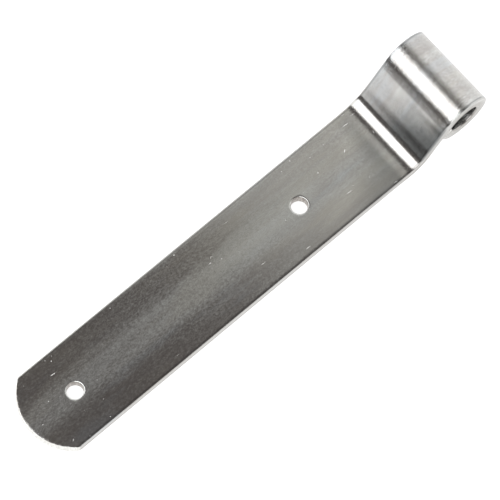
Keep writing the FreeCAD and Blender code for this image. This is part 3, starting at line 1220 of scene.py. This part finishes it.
@dataclass
class Studio:
    """A pale cove, soft lights and the camera.

    The cove's wall stands from cove_from to cove_to, counted in degrees from +X towards +Y. The camera's
    azimuth is counted from -Y towards +X, and its elevation from the floor.
    """

    centre: Vector
    floor_level: float
    rim_points: int = 96
    cove_radius: float = 2.4
    cove_height: float = 1.1
    cove_from: float = 40.0
    cove_to: float = 250.0
    softboxes: tuple[Softbox, ...] = (
        Softbox("key_softbox", azimuth=-14.0, elevation=51.0, half_wide=50.0, half_high=24.5, radiance=2.6),
        Softbox("fill_softbox", azimuth=-162.0, elevation=42.5, half_wide=58.0, half_high=18.5,
                radiance=1.08),
        Softbox("upper_fill_softbox", azimuth=-162.0, elevation=67.0, half_wide=58.0, half_high=5.0,
                radiance=0.52, tint=(0.985, 1.0, 0.95)),
    )
    ambient: tuple[float, float, float, float] = rgba(0.150, 0.138, 0.134)
    floor_colour: tuple[float, float, float, float] = rgba(0.32, 0.32, 0.32)
    floor_glow: float = 0.93
    camera_azimuth: float = 131.23
    camera_elevation: float = 71.03
    camera_roll: float = 7.654
    camera_distance: float = 1.18294
    camera_lens: float = 232.2
    aim: Vector = field(default_factory=lambda: Vector((0.00155, 0.00405, 0.00341)))

    def build(self) -> None:
        """Set up the whole studio."""
        self.make_floor()
        for softbox in self.softboxes:
            softbox.place(self.centre)
            log.info("light %s", softbox.name)
        self.make_camera()
        self.make_surroundings()

    def make_floor(self) -> None:
        """Make the floor, with a pale wall round the side away from the key light."""
        start_clean()
        under = (self.centre.x, self.centre.y, self.floor_level)
        bpy.ops.mesh.primitive_circle_add(vertices=self.rim_points, radius=self.cove_radius,
                                          fill_type="NGON", location=under)
        floor = bpy.context.object
        floor.name = "studio_floor"
        bpy.ops.object.mode_set(mode="EDIT")

        def turns_up(end: Vector) -> bool:
            """Whether a point of the rim belongs to the stretch that turns up into the wall."""
            return self.cove_from < math.degrees(math.atan2(end.y, end.x)) % 360.0 < self.cove_to

        pick_edges(lambda edge: all(turns_up(vertex.co) for vertex in edge.verts))
        draw_out(Vector((0.0, 0.0, self.cove_height)))
        bpy.ops.object.mode_set(mode="OBJECT")
        bpy.ops.object.shade_smooth_by_angle(angle=math.radians(30.0))
        material = bpy.data.materials.new("studio_paper")
        material.use_nodes = True
        shader = material.node_tree.nodes["Principled BSDF"]
        shader.inputs["Base Color"].default_value = self.floor_colour
        shader.inputs["Roughness"].default_value = 0.9
        shader.inputs["Specular IOR Level"].default_value = 0.0
        shader.inputs["Emission Color"].default_value = rgba(1.0, 1.0, 1.0)
        shader.inputs["Emission Strength"].default_value = self.floor_glow
        floor.data.materials.append(material)

    def make_camera(self) -> None:
        """Add the camera: a long lens, high over the strap, turned a little about its own line."""
        start_clean()
        azimuth, elevation = math.radians(self.camera_azimuth), math.radians(self.camera_elevation)
        back = Vector((math.sin(azimuth) * math.cos(elevation), -math.cos(azimuth) * math.cos(elevation),
                       math.sin(elevation)))
        bpy.ops.object.camera_add(location=self.centre + self.aim + back * self.camera_distance)
        camera = bpy.context.object
        camera.name = "camera"
        upright = (-back).to_track_quat("-Z", "Y")
        camera.rotation_mode = "QUATERNION"
        camera.rotation_quaternion = upright @ Quaternion((0.0, 0.0, 1.0), math.radians(self.camera_roll))
        camera.data.lens = self.camera_lens
        camera.data.sensor_width = 36.0
        camera.data.clip_end = 20.0
        bpy.context.scene.camera = camera

    def make_surroundings(self) -> None:
        """Set the room's own dim light and a plain, unstyled picture."""
        scene = bpy.context.scene
        world = bpy.data.worlds.new("studio_room")
        world.use_nodes = True
        background = world.node_tree.nodes["Background"]
        background.inputs["Color"].default_value = self.ambient
        background.inputs["Strength"].default_value = 1.0
        scene.world = world
        scene.view_settings.view_transform = "Standard"
        scene.view_settings.look = "None"


# ---------------------------------------------------------------------------- putting it together


def mount(name: str) -> dict:
    """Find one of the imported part's mounts by its name."""
    return next(entry for entry in frame["record"]["mounts"] if entry["name"] == name)


def read_bar() -> BentBar:
    """Take the bar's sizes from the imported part: its box and its mounts.

    Returns:
        The bar, with the part's own sizes.
    """
    low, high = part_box(NODE)
    back_level = mount("strap_back")["pos_m"][2]
    middle_level = mount("bolt_holes")["pos_m"][2]
    bore_radius = mount("pin_bore")["dims"]["r_mm"] * MM
    return BentBar(width=high.y - low.y, thickness=2 * (middle_level - back_level),
                   bore_radius=bore_radius, back_level=back_level, tip=high.x)


def read_holes() -> tuple[list[Vector], float]:
    """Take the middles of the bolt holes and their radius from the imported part.

    Returns:
        The holes' middles and their radius.
    """
    pattern = mount("bolt_holes")
    middle = Vector(pattern["pos_m"])
    half = pattern["dims"]["spacing_x_mm"] / 2 * MM
    places = [middle + Vector((side * half, 0.0, 0.0)) for side in (1, -1)]
    return places, pattern["dims"]["hole_r_mm"] * MM


def main() -> None:
    """Build the strap, dress it and set up the studio."""
    logging.basicConfig(level=logging.INFO, format="%(name)s: %(message)s")
    bar = read_bar()
    holes, hole_radius = read_holes()
    strap = HingeStrap(bar=bar, hole_places=holes, hole_radius=hole_radius)
    piece = strap.build()
    log.info("%s: %d faces", piece.name, len(piece.data.polygons))
    groups = Groups(lines=make_drawing_lines(), nicks=make_nicks())
    # The bolt holes' walls are sheared zinc coloured dark brown: painted shade for the shadow down in the
    # holes.
    punched = ShearedZinc("punched_zinc_painted_shade", clean=rgba(0.46, 0.43, 0.40), dull=rgba(0.26, 0.23, 0.21))
    finishes = {Finish.PLATED: ZincPlate(), Finish.SHEARED: ShearedZinc(), Finish.PUNCHED: punched}
    for finish in Finish:
        piece.data.materials.append(finishes[finish].make(groups))
    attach(piece, "root")
    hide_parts(NODE)
    low, high = CAD_BOX
    Studio(centre=(low + high) / 2, floor_level=low.z).build()


if __name__ == "__main__":
    main()
